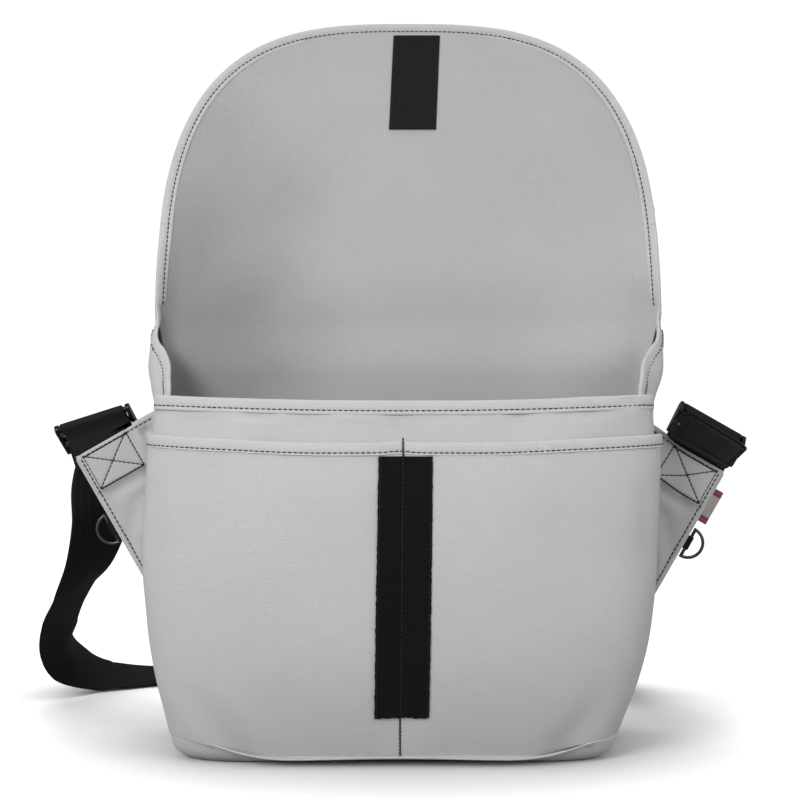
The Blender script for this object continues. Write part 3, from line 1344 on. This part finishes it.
# ---------------------------------------------------------------- shoulder strap
# stations from the left buckle round the back to the right one: x, y, z, width direction
STRAP_WAY = np.array([
    [-229, 60, 207, 0.90, 0.10, 0.06], [-234, 64, 188, 0.92, 0.25, 0.14],
    [-237, 70, 162, 0.80, 0.58, 0.05], [-249, 85, 128, 0.51, 0.85, -0.13],
    [-265, 100, 103, 0.23, 0.97, -0.11], [-278, 116, 82, 0.23, 0.97, -0.10],
    [-288, 144, 56, 0.24, 0.97, 0.03], [-288, 178, 33, 0.15, 0.97, 0.12],
    [-273, 210, 15, 0.06, 0.97, 0.20], [-251, 227, 8, -0.06, 0.97, 0.19],
    [-222, 242, 5, -0.12, 0.98, 0.12], [-165, 256, 3, -0.12, 0.99, 0.04],
    [-85, 263, 2, -0.04, 1, 0], [0, 264, 2, 0, 1, 0], [85, 256, 2.5, 0.08, 1, 0],
    [148, 236, 6, 0.14, 0.98, -0.08], [182, 202, 20, 0.18, 0.96, -0.18],
    [194, 162, 50, 0.24, 0.95, -0.18], [195, 126, 88, 0.36, 0.92, -0.16],
    [201, 96, 130, 0.60, 0.76, -0.22], [211, 72, 168, 0.84, 0.40, -0.36],
    [221, 56, 196, 0.87, 0.12, -0.46], [229, 43.6, 220.4, 0.87, 0.02, -0.49]])


def catmull(stations, steps):
    """Catmull-Rom curve through the stations."""
    out = []
    last = len(stations) - 1
    for i in range(last):
        a, b, c, d = (stations[min(last, max(0, i + k))] for k in (-1, 0, 1, 2))
        for k in range(steps):
            t = k / steps
            out.append(0.5 * ((2 * b) + (c - a) * t + (2 * a - 5 * b + 4 * c - d) * t * t
                              + (3 * b - a - 3 * c + d) * t ** 3))
    out.append(stations[-1])
    return np.array(out)


def shoulder_strap():
    """The strap; returns its centres and width directions."""
    stations = catmull(STRAP_WAY, 16)
    centres = stations[:, :3].copy()
    widthways = square_to(stations[:, 3:], tangents(centres))
    # lift the strap where its lower edge would sink into the floor, easing in and out
    sunk = np.maximum(0, np.abs(widthways[:, 2]) * WEB_W / 2 + 1.7 - centres[:, 2])
    index = np.arange(len(sunk))
    lift = sunk.copy()
    for j in range(-16, 17):
        lift = np.maximum(lift, np.interp(index + j, index, sunk) * math.cos(math.radians(4.5 * j)))
    centres[:, 2] += lift
    ahead = tangents(centres)
    widthways = square_to(stations[:, 3:], ahead)
    ribbon("shoulder_strap_weave", centres, widthways, np.cross(ahead, widthways), WEB_W, WEB_T,
           ripple=0.5, seed=9, ride="bag", replaces="shoulder_strap")
    return centres, widthways


def strap_link(name, buckle, start, start_width, end, end_width, end_ahead):
    """Short length between a buckle's strap end and the main strap; it bends with the buckle."""
    tip = start[-1]
    ahead = unit(tip - start[-4])
    t = np.linspace(0, 1, 26)[:, None]
    reach = np.linalg.norm(end - tip) * 0.35
    overlap = 0.4
    p0, p1 = tip - ahead * overlap, tip + ahead * reach
    p2, p3 = end - end_ahead * reach, end + end_ahead * overlap
    centres = ((1 - t) ** 3 * p0 + 3 * (1 - t) ** 2 * t * p1 + 3 * (1 - t) * t ** 2 * p2
               + t ** 3 * p3)
    along = tangents(centres)
    widthways = square_to(unit(start_width * (1 - t) + end_width * t), along)
    ribbon(name, centres, widthways, np.cross(along, widthways), WEB_W - 0.05, WEB_T - 0.03,
           blend=("bag", buckle, tuple(end * MM), tuple(tip * MM)))


def strap():
    (left, left_width), (right, right_width) = strap_ends()
    centres, widthways = shoulder_strap()
    strap_link("strap_link_left", "buckle_left", left, -left_width[-1],
               centres[0], widthways[0], unit(centres[1] - centres[0]))
    strap_link("strap_link_right", "buckle_right", right, right_width[-1],
               centres[-1], widthways[-1], unit(centres[-2] - centres[-1]))


# ---------------------------------------------------------------- ring tabs and label
def ring_tab(side):
    """Narrow loop on the wing's outer edge that holds a D-ring."""
    name = f"ring_tab_{SIDE_NAME[side]}"
    radius = 1.42 + 0.45
    down, out = 62.5, 3.6
    y, z = resample_profile(np.concatenate([
        [(radius, -15), (radius, -5)], arc_points(0, 0, radius, 0, 180, 16),
        [(-radius, -5), (-radius, -15)]]), 60)
    x = TIP_X - down * SIN_W + out * COS_W + z * COS_W
    up = TIP_Z - down * COS_W - out * SIN_W + SIDE_RISE[side] - z * SIN_W
    centres = join(side * x, 37.8 + y, up)
    widthways = unit(np.array([-side * SIN_W, 0, -COS_W]))
    ribbon(name + "_weave", centres, widthways, np.cross(tangents(centres), widthways),
           11, 0.9, ride="bag", replaces=name)


def side_label():
    """Blank label on the right wing's outer edge."""
    out, up = np.meshgrid(np.linspace(-1.1, 7.0, 12), np.linspace(-44, -16, 24), indexing="ij")
    y = MID_Y - 0.35 - 0.8 * smooth((out - 1) / 6) * noise(up / 12.0, out / 9.0, 95)
    points = join(TIP_X + out * COS_W + up * SIN_W, y, TIP_Z - out * SIN_W + up * COS_W)
    sheet("side_label_woven", points, join((up + 30) / 14.0, (out - 3.0) / 4.0), 0.6, LABEL,
          ride="bag", replaces="side_label", slot="label")


# ---------------------------------------------------------------- hardware
def keep_cad(name, material, rounding):
    """Keeps a CAD piece, with its own material and rounded edges."""
    ob = cad_nodes[name]
    ob.data.materials.clear()
    ob.data.materials.append(material)
    for polygon in ob.data.polygons:
        polygon.use_smooth = True
    ob.modifiers.new("weld", "WELD").merge_threshold = 1e-6
    if rounding:
        bevel = ob.modifiers.new("round", "BEVEL")
        bevel.width = rounding * MM
        bevel.segments = 3
        bevel.limit_method = "ANGLE"
        bevel.angle_limit = math.radians(35)
        bevel.harden_normals = False
    ob.modifiers.new("normals", "WEIGHTED_NORMAL").keep_sharp = False


def cam_point(x, y, z):
    """Frame of the right buckle (x along, y up the buckle, z to the front) to the bag."""
    return buckle_point(1, np.asarray(x, float), y * math.cos(CAM_TILT) - z * math.sin(CAM_TILT),
                        CAM_H + y * math.sin(CAM_TILT) + z * math.cos(CAM_TILT))


def offset_loop(outline, distance):
    """Moves a closed convex outline inwards."""
    along = unit(np.roll(outline, -1, 0) - np.roll(outline, 1, 0))
    normal = join(-along[:, 1], along[:, 0])
    inside = np.sum(normal * (outline.mean(0) - outline), 1, keepdims=True)
    return outline + normal * np.sign(inside) * distance


class CamParts:
    """Vertices and faces of pieces given in the right buckle's frame."""
    def __init__(self):
        self.verts, self.faces = [], []

    def add(self, x, y, z):
        """Adds points and returns the index of the first."""
        first = len(self.verts)
        self.verts += list(cam_point(x, y, z))
        return first

    def box(self, x0, x1, y0, y1, z0, z1):
        x, y, z = np.array([(x, y, z) for z in (z0, z1)
                            for x, y in ((x0, y0), (x1, y0), (x1, y1), (x0, y1))]).T
        first = self.add(x, y, z)
        for face in ((0, 3, 2, 1), (4, 5, 6, 7), (0, 1, 5, 4), (1, 2, 6, 5), (2, 3, 7, 6),
                     (3, 0, 4, 7)):
            self.faces.append(tuple(first + i for i in face))

    def rod(self, x0, x1, y, z, radius):
        turn = 2 * np.pi * np.arange(20) / 20
        ring_y, ring_z = y + radius * np.cos(turn), z + radius * np.sin(turn)
        first, second = self.add(x0, ring_y, ring_z), self.add(x1, ring_y, ring_z)
        self.faces += band(first, second, 20)
        self.faces.append(tuple(range(first, second))[::-1])
        self.faces.append(tuple(range(second, second + 20)))

    def make(self, name, material):
        verts = np.array(self.verts)
        return new_object(name, verts, self.faces, verts[:, [0, 2]], material)


# corners of the lever's plate, x and y
LEVER_OUTLINE = np.array([
    (-27.9, -8.6), (-28.2, 0.0), (-28.2, 5.0), (-27.2, 9.2), (-25.2, 12.6), (-22.6, 15.2),
    (-19.2, 16.2), (0.0, 15.6), (23.5, 14.9), (27.2, 14.0), (29.8, 13.4), (30.7, 11.8),
    (30.2, 10.0), (24.2, -8.2), (22.9, -9.1), (0, -9.0), (-26.6, -9.2)])
# section of the plate's rim: inset from the outline, z
LEVER_RIM = [(1.2, 7.2), (0.35, 7.3), (0.0, 7.8), (0.0, 9.6), (0.25, 10.15), (0.8, 10.4),
             (1.9, 10.4), (2.15, 10.2), (2.3, 9.75), (2.7, 9.7), (2.95, 9.95), (3.3, 10.0)]


def cam_lever():
    outline = []
    for a, b in zip(LEVER_OUTLINE, np.roll(LEVER_OUTLINE, -1, 0)):
        steps = max(1, int(np.linalg.norm(b - a) / 2.2))
        outline += [a + (b - a) * j / steps for j in range(steps)]
    outline = np.array(outline)
    count = len(outline)

    def crown(x):
        return 0.45 * (1 - (x / 31.0) ** 2)

    parts = CamParts()
    for inset, z in LEVER_RIM:
        x, y = offset_loop(outline, inset).T
        parts.add(x, y, z + crown(x))
    # the face closes in shrinking copies of the last loop
    inner = offset_loop(outline, LEVER_RIM[-1][0])
    for scale in (0.75, 0.45, 0.15):
        x, y = (inner.mean(0) + (inner - inner.mean(0)) * scale).T
        last = parts.add(x, y, 10.0 + crown(x) + 0.03 * np.sin(x))
    for start in range(0, last, count):
        parts.faces += band(start, start + count, count)
    parts.faces.append(tuple(range(last, last + count)))
    parts.faces.append(tuple(range(count))[::-1])
    # lugs behind the plate, the pin's two ends and a row of teeth
    for x in (-23.6, 23.6):
        parts.box(x - 1.5, x + 1.5, 10.9, 14.0, 2.4, 7.6)
    for x0, x1 in ((-28.2, -22.5), (22.5, 28.2)):
        parts.rod(x0, x1, y=13.5, z=4.2, radius=1.5)
    for k in range(7):
        parts.box(-20 + k * 6.0, -18.6 + k * 6.0, 9.5, 13.5, 5.6, 7.5)
    ob = parts.make("cam_lever_moulding", PLASTIC)
    face_outwards(ob)
    ob.data.set_sharp_from_angle(angle=math.radians(40))
    register(ob, ride="cam_lever", replaces="cam_lever_right", slot="buckle")


def lever_boss():
    """Small round boss on the lever's face."""
    parts = CamParts()
    turn = np.arange(16) * np.pi / 8
    for radius, z in ((1.0, 10.2), (1.0, 10.75), (0.7, 10.95), (0.25, 11.0)):
        parts.add(-24.2 + radius * np.cos(turn), 2.6 + radius * np.sin(turn), z)
    for k in range(3):
        parts.faces += band(k * 16, k * 16 + 16, 16)
    parts.faces += [tuple(range(48, 64)), tuple(range(16))[::-1]]
    register(parts.make("cam_lever_boss", METAL), ride="cam_lever", slot="ring")


# ---------------------------------------------------------------- build
front_panel()
pocket()
loop_tape()
pocket_seams()
gusset_edges = {side: gusset(side) for side in (-1, 1)}
back_panel()
base_panel()
lining()
flap(gusset_edges)
wing(-1)
wing(1)
anchors()
strap()
ring_tab(-1)
ring_tab(1)
side_label()
bag_seams.make(ride="bag")
for name in ("ladder_lock_left", "cam_frame_right"):
    keep_cad(name, PLASTIC, rounding=0.5)
cam_lever()
lever_boss()
for name in ("d_ring_left", "d_ring_right"):
    keep_cad(name, METAL, rounding=0)
keep_cad("base_board", BOARD, rounding=0.3)
keep_cad("back_pad", FOAM, rounding=0.3)


# ---------------------------------------------------------------- stage, light, camera
def studio_floor():
    """Floor that curves up into a wall behind the bag."""
    wall_y, bend = 2500, 900
    profile = [(-4000, 0), (wall_y, 0)]
    profile += [(wall_y + bend * math.sin(turn), bend - bend * math.cos(turn))
                for turn in np.linspace(0.05, math.pi / 2, 16)]
    profile += [(wall_y + bend, 5000)]
    verts = [(x, y, z) for y, z in profile for x in (-6000, 6000)]
    faces = [(2 * i, 2 * i + 1, 2 * i + 3, 2 * i + 2) for i in range(len(profile) - 1)]
    new_object("studio_floor", verts, faces, None, floor_material())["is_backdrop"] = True


def studio_world():
    """White surroundings, brighter overhead."""
    world = bpy.data.worlds.new("studio")
    bpy.context.scene.world = world
    world.use_nodes = True
    tree = world.node_tree
    direction = add_node(tree, "TexCoord", out="Generated")
    height = add_node(tree, "SeparateXYZ", {0: direction}, out=2)
    strength = add_node(tree, "MapRange", {"Value": height, "From Min": -0.5, "From Max": 0.9,
                                           "To Min": 0.10, "To Max": 0.62})
    background = tree.nodes["Background"]
    wire(tree, background.inputs[0], (1, 1, 1))
    wire(tree, background.inputs[1], strength)


def area_light(name, location, target, size, power):
    """Rectangular light aimed at a target; places and sizes in metres, power in watts."""
    light = bpy.data.lights.new(name, "AREA")
    light.shape = "RECTANGLE"
    light.size, light.size_y = size
    light.energy = power
    ob = bpy.data.objects.new(name, light)
    bpy.context.scene.collection.objects.link(ob)
    ob.location = location
    aim = Vector(target) - Vector(location)
    ob.rotation_euler = aim.to_track_quat("-Z", "Y").to_euler()


def camera():
    data = bpy.data.cameras.new("camera")
    data.sensor_width = 36
    data.lens = 63.18
    ob = bpy.data.objects.new("camera", data)
    bpy.context.scene.collection.objects.link(ob)
    ob.location = (0, CAMERA_Y * MM, CAMERA_Z * MM)
    ob.rotation_euler = (math.pi / 2, 0, 0)
    bpy.context.scene.camera = ob


studio_floor()
studio_world()
area_light("key", location=(-1.15, -1.6, 1.05), target=(-0.02, 0, 0.25), size=(0.9, 0.9), power=27)
area_light("fill", location=(1.6, -1.3, 0.8), target=(0, 0, 0.25), size=(1.2, 1.2), power=8.5)
area_light("side", location=(1.75, -0.8, 0.5), target=(0.2, 0, 0.2), size=(0.8, 0.8), power=2.2)
area_light("top", location=(0.0, 0.1, 1.9), target=(0, 0, 0.2), size=(1.4, 1.0), power=6)
camera()
bpy.context.scene.view_settings.view_transform = "Standard"

sizes = {"cad": cad_box, "visual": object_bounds()}
sizes = {key: [[float(x) for x in corner] for corner in box] for key, box in sizes.items()}
